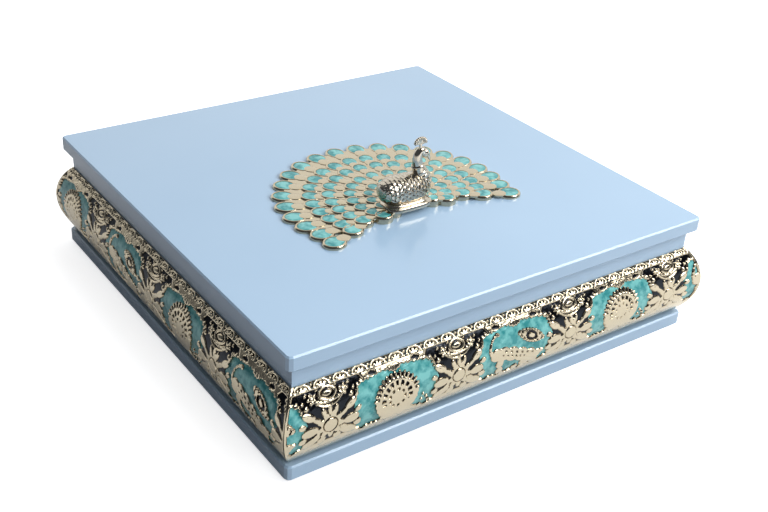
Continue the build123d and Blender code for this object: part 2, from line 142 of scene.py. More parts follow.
# Tail; rows run from the outermost, lowest one to the innermost, highest one
FOCUS_X = -3.5
FOCUS_Y = -53.5
WEB_START = math.radians(-5.0)
WEB_BASE = 6.0
ROW_COUNTS = (21, 21, 17, 15, 11)
ROW_STARTS = (-10.7, -7.2, 0.0, -4.0, 5.0)
ROW_SIDE_R = (67.0, 49.5, 37.5, 24.0, 13.0)
ROW_TOP_R = (89.0, 72.0, 59.5, 45.6, 33.0)
CELL_LONG = (12.6, 10.8, 10.2, 9.2, 7.6)
CELL_WIDE = (10.6, 9.4, 9.0, 8.0, 6.8)
CELL_RIM = 1.1
LOBE_GROWTH = 0.5
RIM_IN = LOBE_GROWTH + CELL_RIM
PLATE_T = 2.2
ROW_STEP = 0.7

# Feather sections: distance in from the edge and height over the row's top
RIM_PROFILE = ((0, -1.3), (LOBE_GROWTH * 0.35, -0.75), (LOBE_GROWTH, -0.25), (LOBE_GROWTH + 0.3, 0),
               (RIM_IN - 0.3, 0), (RIM_IN - 0.05, -0.15), (RIM_IN, -0.6))
DROP_PROFILE = ((0.0, -0.5), (0.3, -0.16), (1.2, -0.06), (2.6, 0.0))

# Domed tongue of a feather: share of its size and height over the row's top
TONGUE_PROFILE = ((1.0, -0.9), (0.99, -0.05), (0.93, 0.08), (0.7, 0.18), (0.35, 0.24), (0.08, 0.26))
TONGUE_SHARE = 0.38
TONGUE_BACK = 0.8

# Bird; heights are over the lid
BIRD_Y = -50.0
FOOT_SUNK = 1.6

# Steps of the foot: length, width, place along x and lift, with the moulding of each step's edge
FOOT_STEPS = ((32, 18, -7.5, 0.0), (23, 10, -8.5, 2.2))
FOOT_PROFILE = ((0, 0.0), (0, 2.0), (0.4, 2.5), (0.9, 2.6), (1.3, 2.2), (2.2, 2.2), (2.6, 3.2), (3.2, 3.6))

# Body from tail to breast: place along x, back, belly and half-width
BODY_KEYS = ((-28.0, 17.0, 14.5, 0.5), (-27.2, 19.8, 11.5, 3.6), (-24.5, 21.8, 8.8, 6.4),
             (-18.5, 23.6, 6.0, 8.6), (-9.5, 23.6, 4.8, 9.2), (-1.5, 23.2, 5.0, 8.8),
             (4.0, 21.6, 6.2, 7.0), (7.2, 18.0, 8.4, 4.4), (8.2, 14.0, 12.0, 0.6))

# Limbs: place along x, height, half-thickness in the bird's own plane and half-width
NECK_KEYS = ((3.0, 16.5, 6.6, 5.8), (2.0, 21.5, 5.4, 4.9), (0.6, 25.5, 4.2, 3.9),
             (-0.8, 29.5, 3.4, 3.1), (-1.0, 33.0, 3.0, 2.8), (-0.6, 35.8, 2.7, 2.6),
             (1.0, 37.7, 2.5, 2.4), (3.0, 36.6, 2.4, 2.2))
BREAST_KEYS = ((3.0, 16.5, 6.9, 6.1), (2.0, 21.5, 5.6, 5.1), (0.7, 25.2, 4.2, 3.9))
COLLAR_KEYS = ((-0.25, 27.6, 3.9, 3.6), (-0.5, 28.4, 4.3, 4.0), (-0.7, 29.2, 3.6, 3.4))
BEAK_KEYS = ((5.4, 35.0, 1.9, 1.6), (6.8, 33.4, 1.4, 1.1), (7.9, 31.4, 0.9, 0.7), (8.7, 29.4, 0.2, 0.2))
SCALE_PITCH = 2.5
NECK_SCALE_PITCH = 2.4

# Crest: a stem with a fan of feathers that end in balls
CREST_X = 0.6
CREST_Z = 39.2
CREST_FEATHERS = 9
CREST_HALF_WIDE = 3.9
CREST_HIGH = 3.0


# Materials

def srgb(red, green, blue):
    """A colour given as it looks on a screen, 0 to 255, as the renderer's linear values."""
    linear = []
    for value in (red, green, blue):
        c = value / 255
        linear.append(c / 12.92 if c <= 0.04045 else ((c + 0.055) / 1.055)**2.4)
    return (*linear, 1.0)


def grey(level):
    """A linear grey."""
    return (level, level, level, 1.0)


def new_material(name, colour, metallic, roughness, coat=0.0):
    """A principled material and its parts."""
    material = bpy.data.materials.new(name)
    material.use_nodes = True
    shader = material.node_tree.nodes["Principled BSDF"]
    shader.inputs["Base Color"].default_value = colour
    shader.inputs["Metallic"].default_value = metallic
    shader.inputs["Roughness"].default_value = roughness
    shader.inputs["Coat Weight"].default_value = coat
    shader.inputs["Coat Roughness"].default_value = 0.1
    return material, material.node_tree, shader


def noise(tree, scale, detail=3.0):
    """A noise texture in the piece's own metres."""
    place = tree.nodes.new("ShaderNodeTexCoord")
    texture = tree.nodes.new("ShaderNodeTexNoise")
    texture.inputs["Scale"].default_value = scale
    texture.inputs["Detail"].default_value = detail
    tree.links.new(place.outputs["Object"], texture.inputs["Vector"])
    return texture.outputs["Fac"]


def ramp(tree, source, stops):
    """Colours laid along a value, as (place, colour) stops."""
    node = tree.nodes.new("ShaderNodeValToRGB")
    scale = node.color_ramp
    while len(scale.elements) < len(stops):
        scale.elements.new(0.5)
    for element, (place, colour) in zip(scale.elements, stops):
        element.position = place
        element.color = colour
    tree.links.new(source, node.inputs["Fac"])
    return node.outputs["Color"]


def add_bump(tree, shader, source, strength, distance):
    """Surface relief too fine for the mesh, its distance in metres."""
    bump = tree.nodes.new("ShaderNodeBump")
    bump.inputs["Strength"].default_value = strength
    bump.inputs["Distance"].default_value = distance
    tree.links.new(source, bump.inputs["Height"])
    tree.links.new(bump.outputs["Normal"], shader.inputs["Normal"])


def lacquer(name, colour, lighter):
    """Satin sprayed lacquer with a faint unevenness."""
    material, tree, shader = new_material(name, colour, metallic=0.0, roughness=0.24, coat=0.25)
    clouds = ramp(tree, noise(tree, 6.0), [(0.3, colour), (0.75, lighter)])
    tree.links.new(clouds, shader.inputs["Base Color"])
    add_bump(tree, shader, noise(tree, 900.0, 2.0), strength=0.06, distance=0.0002)
    return material


def cast_metal(name, light, dark, ground):
    """Polished champagne plating that darkens in the recesses of its relief."""
    material, tree, shader = new_material(name, light, metallic=1.0, roughness=0.16)
    rise = tree.nodes.new("ShaderNodeAttribute")
    rise.attribute_name = "rise"
    depth = ramp(tree, rise.outputs["Fac"], [(0.0, ground), (0.4, dark), (0.85, light)])
    tree.links.new(depth, shader.inputs["Base Color"])
    handling = ramp(tree, noise(tree, 160.0), [(0.3, grey(0.1)), (0.8, grey(0.3))])
    tree.links.new(handling, shader.inputs["Roughness"])
    add_bump(tree, shader, noise(tree, 420.0), strength=0.25, distance=0.0004)
    return material


def pearl_enamel(name, deep, clear):
    """Poured pearl enamel: mottled, under a clear glossy skin."""
    material, tree, shader = new_material(name, deep, metallic=0.1, roughness=0.22, coat=0.25)
    shader.inputs["Specular IOR Level"].default_value = 0.3
    mottle = ramp(tree, noise(tree, 210.0, 6.0), [(0.38, deep), (0.6, clear)])
    tree.links.new(mottle, shader.inputs["Base Color"])
    add_bump(tree, shader, noise(tree, 150.0, 1.0), strength=0.12, distance=0.0006)
    return material


def plain(name, colour, roughness, metallic=0.0, grain=600.0, coat=0.0):
    """A plain surface with fine grain."""
    material, tree, shader = new_material(name, colour, metallic, roughness, coat)
    add_bump(tree, shader, noise(tree, grain), strength=0.15, distance=0.0002)
    return material


LACQUER = lacquer("lacquer", srgb(164, 193, 219), srgb(171, 199, 224))
INNER = lacquer("inner_lacquer", srgb(170, 196, 221), srgb(178, 203, 226))
METAL = cast_metal("champagne", srgb(208, 196, 170), srgb(150, 134, 106), srgb(42, 45, 50))
TAIL_METAL = plain("champagne_tail", srgb(207, 195, 169), roughness=0.2, metallic=1.0, grain=500.0)
BIRD_METAL = plain("champagne_bird", srgb(208, 199, 182), roughness=0.13, metallic=1.0, grain=500.0)
TEAL = pearl_enamel("teal_enamel", srgb(58, 146, 149), srgb(124, 198, 196))
FELT = plain("felt", srgb(224, 218, 206), roughness=0.95, grain=1500.0)
CUP = plain("cup_plastic", srgb(232, 229, 222), roughness=0.25, grain=300.0, coat=0.3)
STEEL = plain("steel", srgb(170, 170, 174), roughness=0.3, metallic=1.0)
PAD = plain("pad", srgb(62, 62, 65), roughness=0.8)


# Mesh building

class Form:
    """Points in millimetres and faces that become one mesh."""

    def __init__(self):
        self.points = []
        self.faces = []
        self.rise = []

    def add(self, points, faces, rise=None):
        """More points and faces; rise tells how far each point stands out of the ground, 0 to 1."""
        start = len(self.points)
        self.points += [tuple(p) for p in points]
        self.faces += [tuple(start + i for i in face) for face in faces]
        self.rise += list(rise) if rise is not None else [1.0] * len(points)

    def rings(self, rings):
        """A skin through rings of equally many points, closed at both ends."""
        rings = np.asarray(rings, float)
        count, sides = rings.shape[:2]
        faces = []
        for i in range(count - 1):
            for j in range(sides):
                k = (j + 1) % sides
                faces.append((i * sides + j, i * sides + k, (i + 1) * sides + k, (i + 1) * sides + j))
        faces.append(tuple(range(sides - 1, -1, -1)))
        faces.append(tuple((count - 1) * sides + j for j in range(sides)))
        self.add(rings.reshape(-1, 3), faces)

    def grid(self, points, rise, keep=None):
        """A sheet through rows of points, with only the faces whose corners are all kept."""
        rows, columns = points.shape[:2]
        index = np.arange(rows * columns).reshape(rows, columns)
        corners = [index[:-1, :-1], index[:-1, 1:], index[1:, 1:], index[1:, :-1]]
        quads = np.stack(corners, -1).reshape(-1, 4)
        points = points.reshape(-1, 3)
        rise = np.asarray(rise).reshape(-1)
        if keep is not None:
            quads = quads[keep.reshape(-1)[quads].all(1)]
            used = np.unique(quads)
            renamed = np.zeros(len(points), int)
            renamed[used] = np.arange(len(used))
            points, rise, quads = points[used], rise[used], renamed[quads]
        self.add(points.tolist(), quads.tolist(), rise.tolist())

    def piece(self, name, material, body, slot, replaced):
        """The finished object, riding on its body in place of the solids it stands for."""
        mesh = bpy.data.meshes.new(name)
        mesh.from_pydata([(x * MM, y * MM, z * MM) for x, y, z in self.points], [], self.faces)
        mesh.attributes.new("rise", "FLOAT", "POINT").data.foreach_set("value", self.rise)
        mesh.materials.append(material)
        mesh.shade_smooth()
        mesh.set_sharp_from_angle(angle=math.radians(50))
        mesh.update()
        made = bpy.data.objects.new(name, mesh)
        bpy.context.scene.collection.objects.link(made)
        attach(made, body)
        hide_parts(*replaced)


def ease(low, high, value):
    """Smooth step from 0 to 1 between two values."""
    t = np.clip((value - low) / (high - low), 0, 1)
    return t * t * (3 - 2 * t)


def ridge(distance, width):
    """Round bead of full width around distance 0."""
    return np.sqrt(np.clip(1 - (2 * distance / width)**2, 0, 1))


def wave(value, length):
    """A cosine wave of the given length."""
    return np.cos(value * 2 * math.pi / length)


def round_angles(sides):
    """Equal angles once round a circle."""
    return np.linspace(0, 2 * math.pi, sides, endpoint=False)


# Motifs of the bands

def turned(x, y, degrees):
    """Places along and across a direction that is turned away from the x axis."""
    c, s = math.cos(math.radians(degrees)), math.sin(math.radians(degrees))
    return x * c + y * s, y * c - x * s


def oval_edge(x, y, half_long, half_wide, turn=0.0):
    """Rough distance from the edge of an oval round the origin, negative inside."""
    along, across = turned(x, y, turn)
    return (np.hypot(along / half_long, across / half_wide) - 1) * min(half_long, half_wide)


def chain_edge(x, y, knots):
    """Distance from a smooth union of round knots, negative inside."""
    total = 0
    for kx, ky, radius in knots:
        total = total + np.exp(-(np.hypot(x - kx, y - ky) - radius) / KNOT_BLEND)
    return -KNOT_BLEND * np.log(total + 1e-12)


def field_edge(x, s):
    """Distance from the edge of an arched teal field with a wavy foot, negative inside."""
    side = np.abs(x) - FIELD_HALF - FIELD_SWING * wave(s - 4, 18)
    top = s - FIELD_TOP + FIELD_SAG * (x / FIELD_HALF)**2
    low = FIELD_LOW - s + 0.9 * wave(x, 8.3) + 0.6 * np.sin(x * 2 * math.pi / 5.1)
    side_in, top_in = side + FIELD_CORNER, top + FIELD_CORNER
    arch = np.hypot(np.maximum(side_in, 0), np.maximum(top_in, 0)) - FIELD_CORNER
    arch = arch + np.minimum(np.maximum(side_in, top_in), 0)
    uneven = 0.3 * np.sin(x * 2.1 + 0.7 * s) + 0.25 * np.sin(s * 2.6 - 0.9 * x)
    return np.maximum(arch + uneven, low)


def disc_form(x, s):
    """Edge and relief of the fan disc: saw-toothed upper rim, ring of dashes, spreading foot."""
    y = s - DISC_UP
    r = np.hypot(x, y)
    a = np.arctan2(y, x)
    teeth = 1.1 * np.abs(np.sin(DISC_TEETH * a)) * ease(-3, 3, y) + 0.25 * np.cos(23 * a)
    rim = r - DISC_R + 0.6 - teeth
    edge = np.minimum(rim, chain_edge(x, s, DISC_FOOT))
    saw = 0.5 + 0.5 * np.cos(2 * DISC_TEETH * a)
    bevel = ease(DISC_R - 3.4, DISC_R - 2.6, r) * ease(-2, 4, y)
    relief = RELIEF - bevel * np.where(saw > 0.45, 0.75, 0.1)
    dashes = (np.cos(DISC_DASHES * a + 0.6) > 0.0) & (np.abs(r - DISC_DASH_R) < 1.25) & (y > -3)
    dots = (np.cos(DISC_DOTS * a) > 0.2) & (np.abs(r - DISC_DOT_R) < 0.7)
    relief = np.where(dashes, 0.0, np.where(dots, 0.2, relief))
    petals = 0.1 * np.cos(DISC_DOTS * a) * ease(5, 2, r)
    return edge, relief + petals


def mango_form(x, s):
    """Edge and relief of the mango leaf with its stem curled up at one end."""
    edge = np.minimum(chain_edge(x, s, MANGO_LEAF), chain_edge(x, s, MANGO_STEM))
    under_back = 6.6 - MANGO_SLOPE * (x + 8) - s
    beads = 0.35 * ridge(under_back - 1.0, 1.6) * (0.7 + 0.3 * wave(x, 1.9))
    dashes = (np.abs(under_back - 3.1) < 0.55) & (wave(x, 4.2) > 0.35) & (x > -12) & (x < 14)
    marks = (np.abs(under_back - 5.8) < 0.45) & (wave(x, 3.4) > 0.45) & (x > -13) & (x < 9)
    veins = 0.12 * wave(x + 2.2 * s, 5.5) * (under_back > 4)
    return edge, np.where(dashes | marks, 0.0, 0.55 + beads + veins)


def eye_form(x, s):
    """Edge and relief of the eye-shaped leaf above the mango leaf."""
    along, across = turned(x - EYE_X, s - EYE_UP, EYE_TURN)
    edge = np.hypot(along, np.abs(across) + EYE_ARC_DOWN) - EYE_ARC_R - 0.25 * np.cos(along * 2.6)
    ring = oval_edge(along, across, 3.6, 2.3)
    relief = np.where(np.abs(ring + 0.1) < 0.75, 0.0, 0.75)
    notches = (np.abs(edge + 1.3) < 0.45) & (np.cos(along * 2.4) > 0.2) & (np.abs(along) > 3)
    return edge, np.where(notches, 0.05, relief)


def flower_heights(x, s):
    """Heights of a panel's nine-petalled flower and of the leaves beside it."""
    r = np.hypot(x, s)
    a = np.arctan2(s, x)
    heart = RELIEF * ease(0.2, -0.3, r - FLOWER_HEART_R) - 0.08 * ease(2.5, 0, r)
    petals = r - 5.5 - 3.4 * np.abs(np.cos(4.5 * a + 0.5))**1.3
    heights = [heart, 0.62 * ease(0.4, -0.4, petals) * ease(4.3, 4.9, r)]
    for px, py, long, wide, turn in PANEL_LEAVES:
        edge = oval_edge(np.abs(x) - px, s - py, long, wide, turn)
        groove = 0.12 * ridge(edge + 0.6 * min(long, wide), 0.7)
        heights.append((0.72 - groove) * ease(0.35, -0.45, edge))
    return heights


def boss_heights(x, s):
    """Heights of a panel's eye-shaped boss, its stem and cross lines, scroll flowers and pearls."""
    mirrored = np.abs(x)
    heights = [0.7 * ease(0.3, -0.3, oval_edge(x, s - 8.8, 1.1, 2.6))]
    for lift, sweep, width in ((11.0, 0.055, 1.3), (13.4, 0.03, 1.5)):
        heights.append(0.75 * ridge(s - lift - sweep * x * x, width) * (mirrored < 9.5))
    up = s - BOSS_UP
    heights.append(RELIEF * ridge(oval_edge(x, up, 4.9, 3.3), 1.3))
    heights.append(RELIEF * ease(0.2, -0.6, np.hypot(x, np.abs(up) + 2.2) - 3.9))
    scroll_x, scroll_up = mirrored - SCROLL_X, s - SCROLL_UP
    r = np.hypot(scroll_x, scroll_up)
    petals = r - 2.3 - 0.7 * np.cos(5 * np.arctan2(scroll_up, scroll_x))
    heights.append(0.75 * ease(0.3, -0.3, petals) - 0.5 * ridge(r - 1.2, 0.8))
    for px, py, radius in PANEL_PEARLS:
        heights.append(RELIEF * ridge(np.hypot(mirrored - px, s - py), 2 * radius))
    return heights


def panel_form(x, s):
    """Relief between two fields, over a raised ground below the flower."""
    ground = 0.5 * ease(-9.5, -11.5, s)
    return np.maximum.reduce([ground] + flower_heights(x, s) + boss_heights(x, s))


def lace_form(x, s):
    """Border along the top: a row of shell arches with rays, over a bright line."""
    near = x - LACE_PITCH * np.round(x / LACE_PITCH)
    r = np.hypot(near * LACE_SQUEEZE, s - LACE_FOOT)
    a = np.arctan2(s - LACE_FOOT, near * LACE_SQUEEZE)
    arch = RELIEF * ridge(r - 3.3, 1.4)
    rays = (np.abs(r - 1.7) < 0.55) & (np.cos(6 * a) > 0.4)
    fan = np.where(rays, 0.0, 0.64 * ease(2.45, 2.2, r))
    bead = 0.75 * ridge(np.hypot((np.abs(near) - LACE_PITCH / 2) * 0.8, s - 24.6), 1.7)
    border = np.maximum.reduce([arch, fan, bead]) * (s > LACE_LINE)
    line = RELIEF * ridge(s - LACE_LINE, 1.2)
    rim = RELIEF * ease(25.8, 26.1, s)
    return np.maximum.reduce([border, line, rim])


def over_field_form(x, s, field):
    """Bright frame between an arched field and the lace, with two dark holes and a hanging shell."""
    frame_line = 0.75 * ridge(field - 0.9, 1.9) * ease(7.5, 10, s)
    plate = 0.66 * ease(0.2, 0.6, field) * ease(23.0, 21.0, np.abs(x) + 0.6 * (22 - s)) * ease(14.5, 16, s)
    plate = plate * (s < LACE_LINE - 0.6)
    holes = oval_edge(np.abs(x) - HOLE_X, s - HOLE_UP, 2.4, 1.25)
    hollow = holes < 0.3
    plate = np.where(hollow, -0.15 + 0.8 * ease(-0.2, 0.3, holes), plate)
    frame_line = np.where(hollow, 0.0, frame_line)
    shell = oval_edge(x, s - SHELL_UP, 4.2, 2.7) + 0.3 * np.cos(2.8 * x)
    rays = 0.1 * np.cos(np.arctan2(s - 22.4, x) * 12) * (shell < 0)
    fan = 0.66 * ease(0.4, -0.3, shell) + rays
    return np.maximum.reduce([frame_line, plate, fan]), shell


# Bands

NOTHING = -9.0
FAR = 99.0


def raise_forms(x, s, forms, heights):
    """Heights inside a field with its motifs standing on the floor of the pocket."""
    for form in forms:
        edge, relief = form(x, s)
        lifted = -POCKET + (relief + POCKET) * ease(0.35, -0.35, edge)
        heights = np.where(edge < 0.5, np.maximum(heights, lifted), heights)
    return heights


def band_relief(x, s, phase, pitch, reach):
    """Height of the metal over the bowed face, and the distance from the teal fields' edge."""
    panel_x = x - phase - pitch / 2
    panel_x = panel_x - pitch * np.round(panel_x / pitch)
    height = panel_form(panel_x, s)
    field = np.full(x.shape, FAR)
    over_edge = (height > 0.3) & (np.abs(panel_x) < PANEL_REACH) & (s < PANEL_TOP)
    motifs = np.where(over_edge, height, NOTHING)
    count = int(reach / pitch) + 2
    for k in range(-count, count + 1):
        middle = phase + k * pitch
        near = np.abs(x - middle) < pitch / 2
        if not near.any():
            continue
        local, up = x[near] - middle, s[near]
        edge = field_edge(local, up)
        field[near] = np.minimum(field[near], edge)
        over, shell = over_field_form(local, up, edge)
        height[near] = np.maximum(height[near], over)
        raised = np.where(shell < 0.3, np.maximum(motifs[near], over), motifs[near])
        motifs[near] = raise_forms(local, up, [disc_form] if k % 2 else [mango_form, eye_form], raised)
    height = np.maximum(height, lace_form(x - phase, s))
    height = np.where(s < FOOT_LINE, 0.45 * ease(-23.0, -21.5, s) + 0.1, height)
    height = height + (-POCKET - height) * ease(0.25, -0.3, field)
    height = np.where(field < 0.35, np.maximum(height, motifs), height)
    return np.clip(height, -POCKET, RELIEF), field


def bowed_skin(angle, share, lift, turn):
    """Points of the bowed face lifted by a height, up to the mitres, turned to the band's side."""
    y = AXIS_Y - (BAND_R + lift) * np.cos(angle)
    z = MID_Z + (BAND_R + lift) * np.sin(angle)
    z = np.clip(z, MID_Z - BAND_H / 2, MID_Z + BAND_H / 2)
    along = share * (-y - MITRE_SLACK)
    c, s = math.cos(math.radians(turn)), math.sin(math.radians(turn))
    return np.stack([along * c - y * s, along * s + y * c, z], -1)


def band(side, turn, phase, pitch):
    """The metal band and its enamel, made in front and turned to their side."""
    half_angle = math.asin(BAND_H / 2 / BAND_R)
    half_length = WALL_OUT + BULGE
    angle = np.linspace(-half_angle, half_angle, int(2 * half_angle * BAND_R / GRID))[:, None]
    share = np.linspace(-1, 1, int(2 * half_length / GRID))[None, :]
    reach = -(AXIS_Y - BAND_R * np.cos(angle)) - MITRE_SLACK
    x = share * reach
    height, field = band_relief(x, BAND_R * angle + 0 * x, phase, pitch, half_length)
    to_mitre = reach - np.abs(x)
    rim = ease(MITRE_RIM, MITRE_RIM - 0.8, to_mitre)
    height = height + (MITRE_RISE - height) * rim
    field = np.maximum(field, MITRE_RIM - to_mitre)
    metal = Form()
    metal.grid(bowed_skin(angle, share, height, turn), ease(0.05, 0.4, height))
    back = bowed_skin(angle, share, np.full(x.shape, -BAND_T), turn)[::BACK_STEP, ::BACK_STEP]
    metal.grid(back[:, ::-1], np.ones(back.shape[:2]))
    metal.piece(f"ornament_{side}", METAL, "case", "champagne", [f"band_{side}"])
    enamel = Form()
    level = -ENAMEL_SINK - ENAMEL_DISH * ease(-3, 0.5, field)
    enamel.grid(bowed_skin(angle, share, level, turn), np.ones(x.shape), field < 1.0)
    enamel.piece(f"enamel_fill_{side}", TEAL, "case", "teal_enamel", [f"enamel_{side}"])


for side, turn in (("front", 0), ("back", 180)):
    band(side, turn, FRONT_PHASE, FRONT_PITCH)
for side, turn in (("right", 90), ("left", 270)):
    band(side, turn, SIDE_PHASE, SIDE_PITCH)


# Tail

def feather_tips(row):
    """Middle and direction of each feather tip in one row."""
    tips = []
    start = ROW_STARTS[row]
    for i in range(ROW_COUNTS[row]):
        a = math.radians(start + (180 - 2 * start) * i / (ROW_COUNTS[row] - 1))
        r = ROW_SIDE_R[row] + (ROW_TOP_R[row] - ROW_SIDE_R[row]) * max(math.sin(a), 0)
        tips.append((FOCUS_X + r * math.cos(a), FOCUS_Y + r * math.sin(a), a))
    return tips


def oval_ring(tip, length, width, z, sides=24):
    """A flat oval ring of points whose length lies along the tip's direction."""
    x, y, a = tip
    t = round_angles(sides)
    u, w = length / 2 * np.cos(t), width / 2 * np.sin(t)
    px = x + u * math.cos(a) - w * math.sin(a)
    py = y + u * math.sin(a) + w * math.cos(a)
    return np.stack([px, py, np.full(sides, z)], -1)


def tail_web(metal, row, tips, top):
    """The flat plate that joins the feathers of one row."""
    end_x = ROW_SIDE_R[row] * math.cos(WEB_START)
    end_y = ROW_SIDE_R[row] * math.sin(WEB_START)
    web = [(FOCUS_X + end_x, FOCUS_Y + end_y)] + [(x, y) for x, y, a in tips[1:-1]]
    web += [(FOCUS_X - end_x, FOCUS_Y + end_y), (FOCUS_X, FOCUS_Y + WEB_BASE)]
    metal.rings([[(x, y, z) for x, y in web] for z in (TOP_Z, top - 0.25)])


def feather(metal, enamel, tip, top, long, wide):
    """One feather tip: a rimmed lobe, the enamel in its cell and a domed tongue over its root."""
    lobe_l, lobe_w = long + 2 * RIM_IN, wide + 2 * RIM_IN
    rim = [oval_ring(tip, lobe_l - 2 * d, lobe_w - 2 * d, top + z, 28) for d, z in RIM_PROFILE]
    metal.rings([oval_ring(tip, lobe_l, lobe_w, TOP_Z, 28)] + rim)
    enamel.rings([oval_ring(tip, long - 2 * d, wide - 2 * d, top + z) for d, z in DROP_PROFILE])
    x, y, a = tip
    back = long / 2 + TONGUE_BACK
    root = (x - back * math.cos(a), y - back * math.sin(a), a)
    tongue = TONGUE_SHARE * wide
    metal.rings([oval_ring(root, 2.3 * tongue * k, 2 * tongue * k, top + z) for k, z in TONGUE_PROFILE])


def tail():
    """Stepped rows of cast feathers, each row higher than the one outside it."""
    metal = Form()
    enamel = Form()
    for row in range(len(ROW_COUNTS)):
        top = TOP_Z + PLATE_T + ROW_STEP * row
        tips = feather_tips(row)
        tail_web(metal, row, tips, top)
        for tip in tips:
            feather(metal, enamel, tip, top, CELL_LONG[row], CELL_WIDE[row])
    metal.piece("tail_feathers", TAIL_METAL, "lid", "champagne", ["peacock_tail"])
    enamel.piece("tail_enamel_drops", TEAL, "lid", "teal_enamel", ["tail_enamel"])


tail()


# Bird

def through(keys, count):
    """A smooth line of values through key rows."""
    keys = np.asarray(keys, float)
    rows = []
    for t in np.linspace(0, len(keys) - 1, count):
        i = min(int(t), len(keys) - 2)
        f = t - i
        p0, p1, p2, p3 = keys[max(i - 1, 0)], keys[i], keys[i + 1], keys[min(i + 2, len(keys) - 1)]
        rows.append(0.5 * (2 * p1 + (p2 - p0) * f + (2 * p0 - 5 * p1 + 4 * p2 - p3) * f**2
                           + (3 * p1 - p0 - 3 * p2 + p3) * f**3))
    return np.array(rows)


def scales(s, t, pitch):
    """Overlapping scale pattern, raised at each free edge."""
    u = s / pitch
    row = np.floor(u)
    w = t / pitch + 0.5 * (row % 2)
    across = w - np.round(w)
    d = np.hypot(u - row, across)
    return np.where(d < 0.72, d / 0.72, 0.05 + 0.5 * np.clip(d - 0.72, 0, 1))


def bird_body(form, count=150, sides=150):
    """Egg-shaped body with scaled wings, as upright rings from tail to breast."""
    t = round_angles(sides)
    c, s = np.cos(t), np.sin(t)
    rings = []
    for x, high, low, wide in through(BODY_KEYS, count):
        middle, half = (high + low) / 2, (high - low) / 2
        level = middle + half * c
        wing = ease(1.0, 0.9, np.hypot((x + 11) / 17, (level - 19) / 9.0))
        pattern = scales(-x + 0 * t, (t - math.pi) * 9, SCALE_PITCH)
        lift = wing * (0.3 + 0.85 * pattern) + (1 - wing) * 0.6 * pattern * ease(11, 15, level)
        y = BIRD_Y + (wide + lift) * s
        z = TOP_Z + middle + (half + 0.6 * lift) * c
        rings.append(np.stack([np.full(sides, x), y, z], -1))
    form.rings(rings)


def tube(form, keys, count, sides, scale_height=0.0):
    """A round limb through keys, with its rings square to its own run."""
    rows = through(keys, count)
    run = np.gradient(rows[:, :2], axis=0)
    run = run / np.linalg.norm(run, axis=1)[:, None]
    t = round_angles(sides)
    length = np.concatenate([[0], np.cumsum(np.hypot(*np.diff(rows[:, :2], axis=0).T))])
    rings = []
    for (x, z, half, wide), (dx, dz), s in zip(rows, run, length):
        lift = scale_height * scales(s + 0 * t, t * 3.2, NECK_SCALE_PITCH)
        up = (half + lift) * np.cos(t)
        y = BIRD_Y + (wide + lift) * np.sin(t)
        rings.append(np.stack([x - up * dz, y, TOP_Z + z + up * dx], -1))
    form.rings(rings)


def foot_ring(x, length, width, z, sides=64):
    """A flat ring of points between an oval and a rectangle."""
    t = round_angles(sides)
    c, s = np.cos(t), np.sin(t)
    px = x + length / 2 * np.sign(c) * np.abs(c)**0.5
    py = BIRD_Y + width / 2 * np.sign(s) * np.abs(s)**0.5
    return np.stack([px, py, np.full(sides, z)], -1)


def ball(form, x, y, z, rx, ry, rz, sides=16):
    """An ellipsoid of rings about the upright axis, z above the lid, cut off just short of its poles."""
    t = round_angles(sides)
    pole = math.pi / 2 - 0.12
    rings = []
    for p in np.linspace(-pole, pole, 10):
        px = x + rx * math.cos(p) * np.cos(t)
        py = y + ry * math.cos(p) * np.sin(t)
        rings.append(np.stack([px, py, np.full(sides, TOP_Z + z + rz * math.sin(p))], -1))
    form.rings(rings)


def bird_foot(form):
    """Two moulded steps that the bird stands on, sunk a little into the tail plate."""
    foot_z = BIRD_LOW_Z - TOP_Z - FOOT_SUNK
    for length, width, x, lift in FOOT_STEPS:
        rings = []
        for d, z in FOOT_PROFILE:
            rings.append(foot_ring(x, length - 2 * d, width - 2 * d, TOP_Z + foot_z + lift + z))
        form.rings(rings)


def bird_head(form):
    """Neck with its scaled breast and collar, head, beak and eyes."""
    tube(form, NECK_KEYS, 80, 32)
    tube(form, BREAST_KEYS, 30, 48, 0.5)
    tube(form, COLLAR_KEYS, 8, 32)
    ball(form, 4.2, BIRD_Y, 35.6, 2.9, 2.6, 2.9, 24)
    tube(form, BEAK_KEYS, 20, 16)
    for side in (-1, 1):
        ball(form, 4.8, BIRD_Y + side * 2.3, 36.2, 0.8, 0.6, 0.8)


def bird_crest(form):
    """Stem and fan of the crest."""
    stem_foot = (CREST_X + 0.4, CREST_Z - 1.6, 1.4, 1.3)
    tube(form, [stem_foot, (CREST_X, CREST_Z + 3.4, 0.8, 0.8)], 6, 12)
    for i in range(CREST_FEATHERS):
        a = math.radians(178 - 176 * i / (CREST_FEATHERS - 1))
        tip_x = CREST_X + CREST_HALF_WIDE * math.cos(a)
        tip_z = CREST_Z + 3.6 + CREST_HIGH * math.sin(a)
        tube(form, [(CREST_X, CREST_Z + 2.6, 0.5, 0.6), (tip_x, tip_z, 0.8, 0.7)], 4, 8)
        ball(form, tip_x, BIRD_Y, tip_z, 1.0, 1.1, 1.0)


def bird():
    """Peacock on its rounded foot, with the low mounds that carry its belly."""
    form = Form()
    bird_foot(form)
    bird_body(form)
    bird_head(form)
    bird_crest(form)
    for x, size in ((-15, 3.0), (-8, 3.4), (0, 3.2)):
        for side in (-1, 1):
            ball(form, x, BIRD_Y + side * 3.6, 6.4, size, 2.4, 1.8)
    form.piece("peacock", BIRD_METAL, "lid", "champagne", ["peacock_bird"])


bird()


# Finish of the solids that stay

